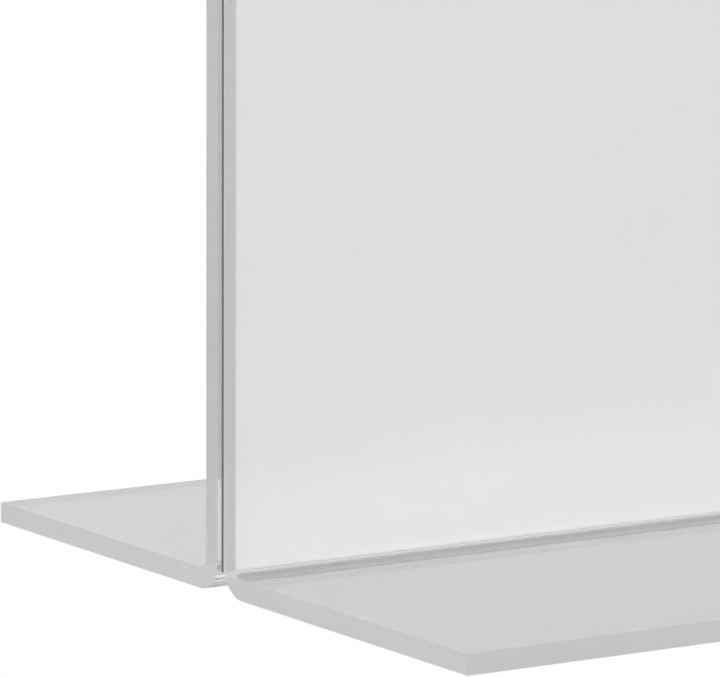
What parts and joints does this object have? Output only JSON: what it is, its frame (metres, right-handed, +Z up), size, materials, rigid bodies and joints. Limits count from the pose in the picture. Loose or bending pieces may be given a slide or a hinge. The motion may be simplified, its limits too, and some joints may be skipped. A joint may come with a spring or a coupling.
{
  "type": "sneeze guard",
  "caption": "Free-standing counter guard: clear L-bent acrylic sheets back to back on splayed feet, holding a pale board that slides out of the slot between them.",
  "frame": {"origin": "middle of the base on the counter surface", "axes": "+X along the guard, to the right seen from the front; +Y towards the back; +Z up"},
  "size_m": [0.6, 0.206, 0.7],
  "materials": {
    "clear_acrylic": "clear cast acrylic, glossy faces, polished square edges",
    "pale_board": "smooth satin pale grey plastic board, two pale skins on a dark core"
  },
  "bodies": {
    "guard": {"front_sheet": "clear_acrylic", "rear_sheet": "clear_acrylic", "top_spacer_strip": "clear_acrylic", "bottom_spacer_left": "clear_acrylic", "bottom_spacer_middle": "clear_acrylic", "bottom_spacer_right": "clear_acrylic"},
    "board": {"insert_board": "pale_board"}
  },
  "joints": [
    {"name": "board_slide", "type": "slide", "parent": "guard", "child": "board", "axis": [-1, 0, 0], "range_m": [-0.6, 0.6]}
  ]
}
